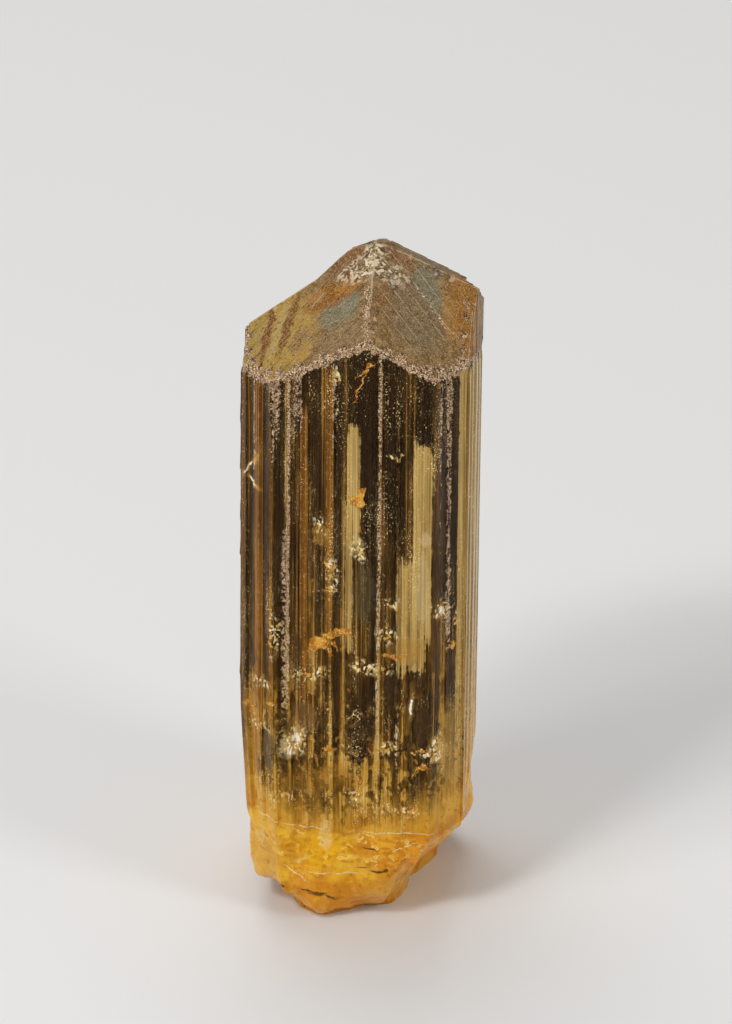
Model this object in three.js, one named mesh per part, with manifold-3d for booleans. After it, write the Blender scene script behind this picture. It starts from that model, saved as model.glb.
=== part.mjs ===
// A golden scapolite crystal: a striated tetragonal prism with a low four-sided pyramid on top,
// a rough rim between the two, and a broken base with a small flat that the crystal stands on.
// Millimetres, +Z along the crystal, origin on the resting flat, under the middle of the outline.

import * as THREE from 'three';
import { mergeVertices } from 'three/addons/utils/BufferGeometryUtils.js';
import { ImprovedNoise } from 'three/addons/math/ImprovedNoise.js';
import Module from 'manifold-3d';

// Main sizes of the crystal
const HEIGHT = 40;
const HALF_WIDTH = 6.3;
const WIDE_FACE = 9.1;
const RIGHT_TAPER = 0.045;
const LEFT_TAPER = 0.11;
const LEFT_TAPER_TOP = 14;

// Pyramid: where its point stands, how steeply its faces fall, and where its four ridges end
const APEX_X = 0.71;
const RIDGE_SLOPE = 0.5;
const BACK_RIGHT_SLOPE = 0.55;
const BACK_LEFT_SLOPE = 0.56;
const LEFT_RIDGE_Y = -2.1;
const BACK_RIGHT_CHIP_START = 4.9;
const BACK_RIGHT_CHIP_SLOPE = 0.85;

// Step in the back left face: where its foot crosses the left ridge, measured from the apex, how it
// leans, how far below the ridge the lower face starts, and how steeply that face falls
const STEP_FOOT = 3.1;
const STEP_LEAN = 0.8;
const STEP_DROP = 0.12;
const LOWER_SLOPE = 0.66;
const STEP_CUT_MARGIN = 0.5;
const STEP_CUT_REACH = 5;

// Rough rim between the prism and the pyramid
const RIM_HEIGHT = 0.55;
const RIM_WANDER = 0.4;
const RIM_INSET = 0.28;
const RIM_WORN = 0.04;
const RIM_ROUGHNESS = 0.08;

// Striations: the strip between two neighbouring laths, how deep the random laths lie, how long a
// lath takes to fade out, and the height below which the broken end has none
const RISER = 0.09;
const LATH_DEPTH = 0.26;
const LATH_FADE = 2.6;
const STRIAE_END = 6.3;
const STRIAE_FADE = 1.4;

// Laths of the front face: where each starts along the face, its depth, and the heights it spans
const FRONT_LATHS = [
  [-4.55, 0.05, 0, 40],
  [-4.2, 0.2, 0, 40],
  [-3.6, 0, 9, 40],
  [-3.3, 0.24, 0, 40],
  [-2.87, 0.08, 0, 33],
  [-2.43, 0.22, 0, 40],
  [-1.94, 0.16, 12, 40],
  [-1.45, 0.05, 0, 40],
  [-0.95, 0.24, 0, 40],
  [-0.35, 0.12, 8, 34],
  [0.05, 0.2, 0, 40],
  [1.35, 0, 12, 38],
  [1.68, 0.22, 0, 40],
  [2.4, 0.05, 0, 32],
  [2.66, 0.2, 14, 40],
  [3.32, 0.1, 10, 32],
  [3.85, 0.17, 0, 40],
  [4.3, 0.04, 0, 40],
];

// Laths cut at random on the other faces: how many on each, going round from the front
const CHAMFER_LATHS = 4;
const RIGHT_LATHS = 8;
const BACK_LATHS = 11;
const LEFT_LATHS = 10;
const LATH_UNEVENNESS = 0.7;
const SHORT_LATHS = 0.3;

// Broken base, by compass station seen from above, 0 degrees at +X and turning towards +Y:
// angle, radius of the resting flat, height of the lump beside it, height where the prism wall
// ends, and how round the lump is
const BASE_STATIONS = [
  [-180, 4.3, 0.5, 4.6, 2.4],
  [-163, 3.9, 0.75, 4.85, 2.8],
  [-150, 4, 0.9, 4.8, 3],
  [-143, 4.25, 1.4, 4.6, 2.6],
  [-136, 5, 1.75, 4.2, 2.2],
  [-126, 5.2, 1, 3.8, 2],
  [-119, 5.25, 0.5, 3.66, 2],
  [-113, 5.25, 0.1, 3.66, 2],
  [-100, 4.35, 0, 3.6, 1.7],
  [-88, 3.6, 0.1, 3.66, 1.5],
  [-71, 3.65, 0.4, 3.75, 1.5],
  [-63, 3.7, 1.6, 5.6, 1.4],
  [-50, 3.3, 2.2, 5.85, 1.2],
  [-37, 2.95, 2.1, 5.8, 1.1],
  [-22, 2.65, 2, 5.2, 1.1],
  [-7, 2.5, 1.9, 4.5, 1.2],
  [12, 3.2, 1.8, 3.5, 1.4],
  [32, 4.4, 1.1, 2.8, 1.8],
  [49, 5.3, 0.3, 3, 2.2],
  [70, 5.1, 0.5, 3.8, 2.4],
  [90, 4.8, 0.6, 4.3, 2.2],
  [112, 5.2, 0.1, 3.7, 1.8],
  [132, 5.5, 0.1, 3.4, 2.2],
  [155, 4.7, 0.4, 4, 2.6],
];
const BASE_CENTRE = new THREE.Vector2(0.3, 0);

// Broken surface between the flat and the wall: where a lump starts, as a share of the way out, how
// far it bulges, and the shell-shaped hollows and bumps on it and on the wall's unstriated end
const LUMP_FOOT = 0.3;
const LUMP_START = 0.15;
const LUMP_BULGE = 0.2;
const HOLLOW_DEPTH = 1;
const HOLLOW_SHARE = 0.18;
const HOLLOW_SIZE = 1.7;
const WALL_BUMP = 0.35;
const WALL_BUMP_SIZE = 1.4;
const WALL_END_CHIP = 0.25;
const WALL_END_CHIP_SIZE = 0.77;

// Growth ridges that cross the pyramid's faces: their distance, half their width where they are
// widest, how far they stand out and reach in, their slant in plan, and where they stop short
const RIDGE_SPACING = 0.9;
const RIDGE_WANDER = 0.25;
const RIDGE_WIDTH = 0.17;
const RIDGE_LIFT = 0.06;
const RIDGE_SINK = 0.15;
const RIDGE_LEAN = 0.8;
const RIDGE_MARGIN = 0.2;
const SHORTEST_RIDGE = 1;
const RIDGE_STEPS = 60;

// Mesh rows, counted up each column, and how much closer together they lie at the broken end
const BASE_ROWS = 8;
const WALL_ROWS = 14;
const ROW_CROWDING = 1.5;
const ROW_NUDGE = 0.3;
const PYRAMID_ROWS = 3;

const noise = new ImprovedNoise();

// Repeatable random numbers between 0 and 1
function makeRandom(seed) {
  let state = seed;
  return () => {
    state = (state * 16807) % 2147483647;
    return state / 2147483647;
  };
}

// A face of the prism, seen from outside: its left corner, its direction, its width and its laths
function makeFace(corner, direction, width, laths) {
  const outward = new THREE.Vector2(direction.y, -direction.x);
  return { corner, direction, width, laths, outward };
}

// Laths of uneven width and depth for a face that the eye sees less of
function randomLaths(width, count, random) {
  const cuts = [0];
  for (let i = 1; i < count; i += 1) {
    cuts.push(((i + LATH_UNEVENNESS * (random() - 0.5)) * width) / count);
  }
  return cuts.map((start, i) => {
    const proud = (LATH_DEPTH / 4) * random();
    const sunk = LATH_DEPTH * (0.4 + 0.6 * random());
    const foot = random() < SHORT_LATHS ? HEIGHT * (0.15 + 0.25 * random()) : 0;
    const top = random() < SHORT_LATHS ? HEIGHT * (0.6 + 0.2 * random()) : HEIGHT;
    return [start, i % 2 === 0 ? proud : sunk, foot, top];
  });
}

// The eight faces in order round the crystal, starting with the front one
function makeFaces() {
  const random = makeRandom(4711);
  const half = WIDE_FACE / 2;
  const chamfer = Math.SQRT2 * (HALF_WIDTH - half);
  const front = FRONT_LATHS.map(([start, depth, foot, top]) => [start + half, depth, foot, top]);
  const wideLaths = [front];
  for (const count of [RIGHT_LATHS, BACK_LATHS, LEFT_LATHS]) {
    wideLaths.push(randomLaths(WIDE_FACE, count, random));
  }
  const faces = [];
  for (let side = 0; side < 4; side += 1) {
    const origin = new THREE.Vector2();
    const turn = (side * Math.PI) / 2;
    const corner = new THREE.Vector2(-half, -HALF_WIDTH).rotateAround(origin, turn);
    const along = new THREE.Vector2(1, 0).rotateAround(origin, turn);
    faces.push(makeFace(corner, along, WIDE_FACE, wideLaths[side]));
    const next = new THREE.Vector2(half, -HALF_WIDTH).rotateAround(origin, turn);
    const slanted = new THREE.Vector2(1, 0).rotateAround(origin, turn + Math.PI / 4);
    faces.push(makeFace(next, slanted, chamfer, randomLaths(chamfer, CHAMFER_LATHS, random)));
  }
  return faces;
}

// One column of the mesh on each edge of a lath, and one wherever a ridge of the pyramid lands
function makeColumns() {
  const landings = [
    new THREE.Vector2(APEX_X, -HALF_WIDTH),
    new THREE.Vector2(HALF_WIDTH, 0),
    new THREE.Vector2(APEX_X, HALF_WIDTH),
    new THREE.Vector2(-HALF_WIDTH, 0),
  ];
  const columns = [];
  for (const face of makeFaces()) {
    face.laths.forEach(([start, depth, foot, top], i) => {
      const end = i + 1 < face.laths.length ? face.laths[i + 1][0] : face.width;
      const stops = [start + RISER / 2, end - RISER / 2];
      for (const landing of landings) {
        const offset = landing.clone().sub(face.corner);
        const along = offset.dot(face.direction);
        const onFace = Math.abs(offset.dot(face.outward)) < RISER;
        if (onFace && along > stops[0] + RISER && along < end - 1.5 * RISER) {
          stops.push(along);
        }
      }
      stops.sort((a, b) => a - b);
      for (const stop of stops) {
        const plan = face.corner.clone().addScaledVector(face.direction, stop);
        columns.push({ plan, outward: face.outward, depth, foot, top });
      }
    });
  }
  return columns;
}

// Point on the prism wall at a height, with the lath's own depth and the crystal's slight taper
function wallPoint(column, z) {
  const rise = THREE.MathUtils.smoothstep(z, column.foot - LATH_FADE, column.foot);
  const fall = 1 - THREE.MathUtils.smoothstep(z, column.top, column.top + LATH_FADE);
  const broken = 1 - THREE.MathUtils.smoothstep(z, STRIAE_END - STRIAE_FADE, STRIAE_END);
  const size = WALL_BUMP_SIZE;
  const bump = noise.noise(column.plan.x / size, column.plan.y / size, z / size);
  const typical = LATH_DEPTH / 2 + broken * WALL_BUMP * bump;
  const depth = THREE.MathUtils.lerp(typical, column.depth, rise * fall * (1 - broken));
  const rightTaper = RIGHT_TAPER * Math.max(0, 1 - z / HEIGHT);
  const leftTaper = LEFT_TAPER * Math.max(0, 1 - z / LEFT_TAPER_TOP);
  const taper = column.plan.x > 0 ? rightTaper : leftTaper;
  const x = column.plan.x * (1 - taper) - column.outward.x * depth;
  const y = column.plan.y * (1 - leftTaper / 3) - column.outward.y * depth;
  return new THREE.Vector3(x, y, z);
}

// Height of the pyramid's lower edge at a point of the outline: four flat faces, the back right one
// chipped at its corner
function edgeHeight(x, y) {
  const across = x - APEX_X;
  const backSlope = across < 0 ? BACK_LEFT_SLOPE : BACK_RIGHT_SLOPE;
  const slope = y > 0 ? backSlope : RIDGE_SLOPE;
  const chip = BACK_RIGHT_CHIP_SLOPE * Math.max(0, across - BACK_RIGHT_CHIP_START);
  const behind = THREE.MathUtils.smoothstep(y, 1, 4);
  return HEIGHT - RIDGE_SLOPE * Math.abs(across) - slope * Math.abs(y) - chip * behind;
}

// Height of the pyramid at any point: each face is straight from its lower edge up to the apex
function pyramidHeight(x, y) {
  const corner = HALF_WIDTH + WIDE_FACE / 2;
  let reach = Infinity;
  for (const [normalX, normalY] of [[1, 0], [0, 1], [1, 1], [1, -1]]) {
    const limit = normalX && normalY ? corner : HALF_WIDTH;
    const run = normalX * (x - APEX_X) + normalY * y;
    const room = run > 0 ? limit - normalX * APEX_X : limit + normalX * APEX_X;
    reach = Math.min(reach, room / Math.max(Math.abs(run), 1e-9));
  }
  const edge = edgeHeight(APEX_X + (x - APEX_X) * reach, y * reach);
  return HEIGHT - (HEIGHT - edge) / reach;
}

// Values of the broken base in one direction, eased between the two nearest stations
function baseAt(angle) {
  const degrees = THREE.MathUtils.radToDeg(angle);
  const count = BASE_STATIONS.length;
  let after = BASE_STATIONS.findIndex((station) => station[0] > degrees);
  if (after < 0) {
    after = 0;
  }
  const before = BASE_STATIONS[(after + count - 1) % count];
  const next = BASE_STATIONS[after];
  const gap = (next[0] - before[0] + 360) % 360;
  const share = ((degrees - before[0] + 360) % 360) / gap;
  const eased = share * share * (3 - 2 * share);
  const [flat, ledge, wallEnd, roundness] = [1, 2, 3, 4].map((i) => {
    return THREE.MathUtils.lerp(before[i], next[i], eased);
  });
  return { flat, ledge, wallEnd, roundness };
}

// Points of one column from the edge of the resting flat up to just below the apex
function columnPoints(column, index) {
  const fromCentre = column.plan.clone().sub(BASE_CENTRE);
  const angle = Math.atan2(fromCentre.y, fromCentre.x);
  const base = baseAt(angle);
  const { x: planX, y: planY } = column.plan;
  const chip = noise.noise(planX / WALL_END_CHIP_SIZE, planY / WALL_END_CHIP_SIZE, 7.3);
  const wallEnd = base.wallEnd + WALL_END_CHIP * chip;
  const wallFoot = wallPoint(column, wallEnd);
  const footEdge = fromCentre.clone().setLength(base.flat).add(BASE_CENTRE);
  const points = [];

  for (let row = 0; row < BASE_ROWS; row += 1) {
    const share = Math.sin((Math.PI / 2) * (row / BASE_ROWS));
    const bulge = LUMP_BULGE * (base.roundness - 1) * Math.sin(Math.PI * share * share);
    const x = THREE.MathUtils.lerp(footEdge.x, wallFoot.x, share) + bulge * Math.cos(angle);
    const y = THREE.MathUtils.lerp(footEdge.y, wallFoot.y, share) + bulge * Math.sin(angle);
    const beyond = Math.max(0, (share - LUMP_START) / (1 - LUMP_START));
    const curl = 1 - (1 - beyond ** base.roundness) ** (1 / base.roundness);
    const ledge = base.ledge * THREE.MathUtils.smoothstep(share, 0, LUMP_FOOT);
    const z = ledge + (wallEnd - base.ledge) * curl;
    const shell = Math.abs(noise.noise(x / HOLLOW_SIZE, y / HOLLOW_SIZE, z / HOLLOW_SIZE + 3.1));
    const relief = HOLLOW_DEPTH * Math.sin((Math.PI * row) / BASE_ROWS) * (shell - HOLLOW_SHARE);
    points.push(new THREE.Vector3(x, y, Math.max(0, z + relief)));
  }

  const gable = edgeHeight(planX, planY);
  const wallTop = gable - RIM_HEIGHT - RIM_WANDER * noise.noise(index * 0.37, 0.5, 2.2);
  for (let row = 0; row <= WALL_ROWS; row += 1) {
    const inside = row > 0 && row < WALL_ROWS;
    const nudge = inside ? ROW_NUDGE * noise.noise(column.depth * HEIGHT, row, 5.5) : 0;
    const share = ((row + nudge) / WALL_ROWS) ** ROW_CROWDING;
    points.push(wallPoint(column, THREE.MathUtils.lerp(wallEnd, wallTop, share)));
  }

  const apex = new THREE.Vector3(APEX_X, 0, HEIGHT);
  const edge = new THREE.Vector3(planX, planY, gable);
  const inset = RIM_INSET / edge.distanceTo(apex);
  const worn = RIM_WORN + RIM_ROUGHNESS * noise.noise(index * 0.73, 1.7, 9.4);
  const shoulder = edge.clone().lerp(apex, inset / 3);
  shoulder.x -= column.outward.x * worn;
  shoulder.y -= column.outward.y * worn;
  shoulder.z -= worn;
  points.push(shoulder);
  for (let row = 0; row < PYRAMID_ROWS; row += 1) {
    points.push(edge.clone().lerp(apex, THREE.MathUtils.lerp(inset, 1, row / PYRAMID_ROWS)));
  }
  return points;
}

// The whole crystal before its growth ridges: a lathe shape whose columns are moved into place
function makeBody() {
  const columns = makeColumns();
  const apex = new THREE.Vector3(APEX_X, 0, HEIGHT);
  const seat = new THREE.Vector3(BASE_CENTRE.x, BASE_CENTRE.y, 0);
  const grid = columns.map((column, index) => [seat, ...columnPoints(column, index), apex]);
  const rows = grid[0].length;
  const profile = grid[0].map((_, row) => {
    return new THREE.Vector2(Math.sin((Math.PI * row) / (rows - 1)), row);
  });
  const geometry = new THREE.LatheGeometry(profile, columns.length);
  const position = geometry.attributes.position;
  for (let i = 0; i < position.count; i += 1) {
    const point = grid[Math.floor(i / rows) % columns.length][i % rows];
    position.setXYZ(i, point.x, point.y, point.z);
  }
  return toClosed(geometry);
}

// Keeps only positions, with shared corners joined
function toClosed(geometry) {
  geometry.deleteAttribute('normal');
  geometry.deleteAttribute('uv');
  return mergeVertices(geometry, 1e-4);
}

// A low three-cornered ridge between two points of a pyramid face
function makeRidge(start, end, normal) {
  const length = start.distanceTo(end);
  const section = new THREE.Shape([
    new THREE.Vector2(-RIDGE_WIDTH, -RIDGE_SINK),
    new THREE.Vector2(RIDGE_WIDTH, -RIDGE_SINK),
    new THREE.Vector2(0, RIDGE_LIFT),
  ]);
  const geometry = new THREE.ExtrudeGeometry(section, { depth: length, bevelEnabled: false });
  const forward = end.clone().sub(start).normalize();
  const side = new THREE.Vector3().crossVectors(normal, forward);
  const frame = new THREE.Matrix4().makeBasis(side, normal, forward).setPosition(start);
  return toClosed(geometry.applyMatrix4(frame));
}

// What the step takes away: all that lies above the lower face, to the left of the step
function makeStepCut() {
  const run = new THREE.Vector3(-APEX_X - HALF_WIDTH, LEFT_RIDGE_Y, 0);
  run.z = edgeHeight(-HALF_WIDTH, LEFT_RIDGE_Y) - HEIGHT;
  const foot = new THREE.Vector3(APEX_X, 0, HEIGHT).addScaledVector(run, STEP_FOOT / -run.x);
  const behind = new THREE.Vector3(0, 1, -LOWER_SLOPE);
  const up = new THREE.Vector3(STEP_LEAN, 0, 1);
  const start = foot.clone().addScaledVector(behind, -STEP_CUT_MARGIN);
  start.z -= STEP_DROP;
  const frame = new THREE.Matrix4().makeBasis(behind, run, up).setPosition(start);
  const cut = new THREE.BoxGeometry(1, 1, 1).translate(0.5, 0.5, 0.5);
  return toClosed(cut.scale(HEIGHT, STEP_CUT_REACH, HEIGHT / 2).applyMatrix4(frame));
}

// True where a point lies on one quarter of the pyramid, clear of its rim, its edges and the step
function onQuarter(x, y, sideX, sideY) {
  const reach = HALF_WIDTH - RIM_INSET;
  const corner = HALF_WIDTH + WIDE_FACE / 2 - 1.5 * RIM_INSET;
  const inOutline = Math.abs(x) < reach && Math.abs(y) < reach && Math.abs(x) + Math.abs(y) < corner;
  const across = sideX * (x - APEX_X);
  const leftBorder = (-LEFT_RIDGE_Y * across) / (APEX_X + HALF_WIDTH);
  const border = sideX < 0 && sideY < 0 ? leftBorder : 0;
  const limit = sideX < 0 && sideY > 0 ? STEP_FOOT - STEP_LEAN : Infinity;
  const clear = across > RIDGE_MARGIN && sideY * y > border + RIDGE_MARGIN;
  return inOutline && clear && across < limit - RIDGE_MARGIN;
}

// Growth ridges of one quarter of the pyramid, parallel to each other, from the rim to its edges
function quarterRidges(sideX, sideY) {
  const slope = new THREE.Vector3(sideX * RIDGE_SLOPE, sideY * RIDGE_SLOPE, 1).normalize();
  const ridges = [];
  const lines = Math.ceil((2 * HALF_WIDTH) / RIDGE_SPACING);
  for (let i = 1; i < lines; i += 1) {
    const wander = RIDGE_WANDER * noise.noise(i * 1.3, sideX * 2.1, sideY * 3.7);
    const offset = (i - lines / 2) * RIDGE_SPACING + wander;
    const line = [];
    for (let step = 0; step <= RIDGE_STEPS; step += 1) {
      const run = HALF_WIDTH * (1 - (2 * step) / RIDGE_STEPS);
      const x = sideX * run;
      const y = sideY * (RIDGE_LEAN * run + offset);
      if (onQuarter(x, y, sideX, sideY)) {
        line.push(new THREE.Vector3(x, y, pyramidHeight(x, y)));
      }
    }
    if (line.length > 1 && line[0].distanceTo(line.at(-1)) > SHORTEST_RIDGE) {
      ridges.push(makeRidge(line[0], line.at(-1), slope));
    }
  }
  return ridges;
}

// Joins closed meshes into one and takes another away from it
async function carve(geometries, cut) {
  const wasm = await Module();
  wasm.setup();
  const toSolid = (geometry) => {
    const vertProperties = new Float32Array(geometry.attributes.position.array);
    const triVerts = new Uint32Array(geometry.index.array);
    return new wasm.Manifold(new wasm.Mesh({ numProp: 3, vertProperties, triVerts }));
  };
  const whole = geometries.map(toSolid).reduce((sum, solid) => sum.add(solid));
  const mesh = whole.subtract(toSolid(cut)).getMesh();
  const geometry = new THREE.BufferGeometry();
  geometry.setAttribute('position', new THREE.BufferAttribute(mesh.vertProperties, 3));
  geometry.setIndex(new THREE.BufferAttribute(mesh.triVerts, 1));
  return geometry;
}

const ridges = [[-1, -1], [1, -1], [1, 1], [-1, 1]].flatMap(([sideX, sideY]) => {
  return quarterRidges(sideX, sideY);
});
const goldenCrystal = new THREE.MeshStandardMaterial({
  color: 0xb98a2e,
  roughness: 0.25,
  metalness: 0,
  transparent: true,
  opacity: 0.85,
});
const carved = await carve([makeBody(), ...ridges], makeStepCut());
const crystal = new THREE.Mesh(carved, goldenCrystal);
const outline = new THREE.Box3().setFromBufferAttribute(crystal.geometry.attributes.position);
const middle = outline.getCenter(new THREE.Vector3());
crystal.geometry.translate(-middle.x, -middle.y, 0);
crystal.geometry.computeVertexNormals();
crystal.name = 'crystal';

const scapolite = new THREE.Group();
scapolite.add(crystal);

export default scapolite;
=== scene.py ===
"""A golden scapolite crystal standing on a pale floor: a striated prism with a frosted pyramid on
top, a sugary rim between the two, orange veils inside and a milky broken base."""

import math
import random
from types import SimpleNamespace

import bpy
import numpy as np
from mathutils import Euler, Matrix, Quaternion, Vector
from mathutils.kdtree import KDTree


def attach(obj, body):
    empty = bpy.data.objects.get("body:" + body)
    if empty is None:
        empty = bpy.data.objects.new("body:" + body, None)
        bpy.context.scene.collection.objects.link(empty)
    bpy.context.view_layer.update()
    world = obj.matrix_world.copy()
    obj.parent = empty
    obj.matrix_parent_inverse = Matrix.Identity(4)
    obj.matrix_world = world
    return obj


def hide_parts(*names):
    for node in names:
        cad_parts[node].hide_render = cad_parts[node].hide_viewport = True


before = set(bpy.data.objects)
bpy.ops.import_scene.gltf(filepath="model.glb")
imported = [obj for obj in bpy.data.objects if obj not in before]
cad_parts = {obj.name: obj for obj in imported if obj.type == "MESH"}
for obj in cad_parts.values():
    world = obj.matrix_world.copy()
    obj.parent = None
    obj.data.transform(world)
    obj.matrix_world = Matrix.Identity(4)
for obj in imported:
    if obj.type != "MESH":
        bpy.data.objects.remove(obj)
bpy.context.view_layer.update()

# The photographer's view: from above the front face and a little to its right, through a long
# lens, with the crystal leaning slightly clockwise in the picture.
MM = 0.001
view_turn = math.radians(5)
view_height = math.radians(30)
view_roll = math.radians(0.35)
view_distance = 0.95
aim = Vector((0.25, 0.02, 22.9)) * MM
sensor = 36
picture_height = 55.9 * MM

camera_data = bpy.data.cameras.new("photographer")
camera_data.sensor_width = sensor
camera_data.lens = sensor * view_distance / picture_height
camera = bpy.data.objects.new("photographer", camera_data)
bpy.context.scene.collection.objects.link(camera)
back = Vector(
    (
        math.sin(view_turn) * math.cos(view_height),
        -math.cos(view_turn) * math.cos(view_height),
        math.sin(view_height),
    )
)
camera.location = aim + view_distance * back
camera.rotation_mode = "QUATERNION"
camera.rotation_quaternion = (-back).to_track_quat("-Z", "Y") @ Quaternion((0, 0, 1), view_roll)
bpy.context.scene.camera = camera


# The crystal: one piece of golden scapolite, grown as a four-sided prism with cut corners. Its mesh
# starts as a copy of the solid and is cut finely, so that striae, etch pits and the crumpled point
# can be worked into it.
half_width = 6.3
corner_start = 4.55
peak_x = 0.71
broken_top = 6.3
row_spacing = 0.5
column_spacing = 0.1

crystal_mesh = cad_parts["crystal"].data.copy()
golden_crystal = bpy.data.objects.new("golden_crystal", crystal_mesh)
bpy.context.scene.collection.objects.link(golden_crystal)


def work_on(piece):
    """Makes a piece the only selected one, and the active one."""
    bpy.ops.object.select_all(action="DESELECT")
    piece.select_set(True)
    bpy.context.view_layer.objects.active = piece


def cut_across(axis, first, last, spacing):
    """Cuts the mesh in edit mode by evenly spaced planes across one axis, in millimetres."""
    normal = Vector((axis == "x", axis == "y", axis == "z"))
    for step in range(math.ceil((last - first) / spacing)):
        bpy.ops.mesh.select_all(action="SELECT")
        place = (first + step * spacing) * MM
        bpy.ops.mesh.bisect(plane_co=place * normal, plane_no=normal)


work_on(golden_crystal)
bpy.ops.object.mode_set(mode="EDIT")
bpy.ops.mesh.select_all(action="SELECT")
bpy.ops.mesh.remove_doubles(threshold=0.001 * MM)
bpy.ops.mesh.tris_convert_to_quads(face_threshold=0.35, shape_threshold=0.7)
cut_across("z", 2.1, 39, row_spacing)
cut_across("x", -half_width + column_spacing / 2, half_width, column_spacing)
cut_across("y", -half_width + column_spacing / 2, half_width, column_spacing)
bpy.ops.object.mode_set(mode="OBJECT")
if "custom_normal" in crystal_mesh.attributes:
    crystal_mesh.attributes.remove(crystal_mesh.attributes["custom_normal"])


def places(mesh):
    """Where a mesh's corners are, in millimetres."""
    found = np.empty(3 * len(mesh.vertices))
    mesh.vertices.foreach_get("co", found)
    return found.reshape(-1, 3) / MM


def eased(value, low, high):
    """0 below low and 1 above high, with a smooth step between."""
    share = np.clip((value - low) / (high - low), 0, 1)
    return share * share * (3 - 2 * share)


def outline_reach(at):
    """How far out each place lies, as half the width of the eight-sided outline through it."""
    straight = np.maximum(np.abs(at[:, 0]), np.abs(at[:, 1]))
    slanted = (np.abs(at[:, 0]) + np.abs(at[:, 1])) * half_width / (half_width + corner_start)
    return np.maximum(straight, slanted)


def rim_line(mesh):
    """The corners of the mesh where the prism wall turns into the pyramid, in millimetres."""
    normals = np.empty(3 * len(mesh.polygons))
    mesh.polygons.foreach_get("normal", normals)
    rise = normals.reshape(-1, 3)[:, 2]
    steepest = np.full(len(mesh.vertices), 2.0)
    flattest = np.full(len(mesh.vertices), -2.0)
    for polygon in mesh.polygons:
        for corner in polygon.vertices:
            steepest[corner] = min(steepest[corner], rise[polygon.index])
            flattest[corner] = max(flattest[corner], rise[polygon.index])
    at = places(mesh)
    near_wall = outline_reach(at) > half_width - 0.45
    return at[(flattest > 0.6) & (steepest < 0.45) & (at[:, 2] > 25) & near_wall]


# Where the crystal's wall was etched into sugary bands, stained gold, or left clear and khaki: the
# middle of each band in plan, half its width, and its lower and upper ends, in millimetres
FRONT = -half_width
etched_bands = [
    (-3.48, FRONT, 0.15, 14.5, 39),
    (-3.66, FRONT, 0.26, 14, 25),
    (-4.08, FRONT, 0.28, 31.8, 39),
    (-4.25, FRONT, 0.1, 29.5, 33),
    (-2.98, FRONT, 0.3, 31.9, 39),
    (-3.1, FRONT, 0.1, 30, 33),
    (-0.85, FRONT, 0.2, 33, 39),
    (-0.95, FRONT, 0.1, 30, 34),
    (-1.98, FRONT, 0.07, 20, 39),
    (1.56, FRONT, 0.11, 20, 39),
    (1.46, FRONT, 0.13, 11.5, 22),
    (2.7, FRONT, 0.09, 8, 24),
    (2.58, FRONT, 0.16, 10, 13.5),
    (5.3, -5.55, 0.2, 18, 39),
    (4.95, -5.9, 0.12, 24, 39),
    (5.9, -4.95, 0.13, 20, 39),
    (-5.5, -5.35, 0.13, 27, 39),
    (-4.75, -6.1, 0.1, 30, 39),
]
gold_bands = [
    (-2.6, FRONT, 0.3, 14, 33),
    (-1.24, FRONT, 0.3, 18, 35.5),
    (-5.16, -5.69, 0.3, 10, 36),
    (-6.1, -4.75, 0.16, 0, 36),
    (4.76, -6.09, 0.14, 12, 36),
    (3.2, FRONT, 0.12, 20, 32),
    (-4.4, -6.25, 0.12, 12, 32),
]
khaki_bands = [
    (0.12, FRONT, 0.42, 24.5, 31.8),
    (-0.15, FRONT, 0.32, 17.5, 27),
    (3.88, FRONT, 0.52, 18.5, 30.8),
    (3.3, FRONT, 0.8, 16.4, 23.5),
    (half_width, -3.9, 1.0, 0, 36.5),
    (half_width, -1.5, 1.6, 0, 37),
    (half_width, 1.5, 1.6, 0, 37),
    (half_width, 3.9, 1.0, 0, 36.5),
    (6.05, -4.8, 0.42, 6, 36),
]
dark_bands = [
    (3.9, FRONT, 0.6, 11, 16.6),
    (2.2, FRONT, 0.42, 10.5, 17),
    (0.62, FRONT, 0.7, 11, 15.3),
    (0.55, FRONT, 0.75, 30.5, 39),
    (2.15, FRONT, 0.4, 26, 39),
    (4.0, FRONT, 0.5, 29.7, 38),
    (-3.12, FRONT, 0.17, 18, 32.5),
    (-2.1, FRONT, 0.26, 22, 39),
    (0.95, FRONT, 0.3, 20, 31),
    (-4.25, FRONT, 0.2, 22, 32),
    (-5.6, -5.2, 0.12, 18, 36),
]


def add_hidden_side_bands():
    """Bands of the left, back and right faces, set at random as they grow."""
    draw = random.Random(12)
    whole_wall = (2, 39)
    for band_list, count in ((etched_bands, 5), (gold_bands, 6), (khaki_bands, 3), (dark_bands, 6)):
        for side in ("left", "back", "right"):
            if side == "right" and band_list is khaki_bands:
                continue
            for _ in range(count):
                along = draw.uniform(-corner_start, corner_start)
                half = draw.uniform(0.07, 0.2) * (2 if band_list in (khaki_bands, dark_bands) else 1)
                low = draw.uniform(6, 22)
                high = draw.uniform(low + 8, 38)
                if band_list is khaki_bands:
                    low, high = whole_wall
                plan = {"left": (-half_width, along), "back": (along, half_width)}
                band_list.append((*plan.get(side, (half_width, along)), half, low, high))


add_hidden_side_bands()


def depth_in_bands(at, bands, fade):
    """Above a half inside any of the bands and below it outside, fading out at their two ends."""
    field = np.zeros(len(at))
    for x, y, half, low, high in bands:
        across = half - np.hypot(at[:, 0] - x, at[:, 1] - y)
        along = np.minimum(at[:, 2] - low, high - at[:, 2])
        field = np.maximum(field, 0.5 + np.minimum(across / 0.5, along / fade))
    return np.clip(field, 0, 1)


def store(mesh, name, values):
    """Keeps one number for each corner of a mesh, for its material to read."""
    layer = mesh.attributes.get(name) or mesh.attributes.new(name, "FLOAT", "POINT")
    layer.data.foreach_set("value", values.astype(np.float32))


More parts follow.
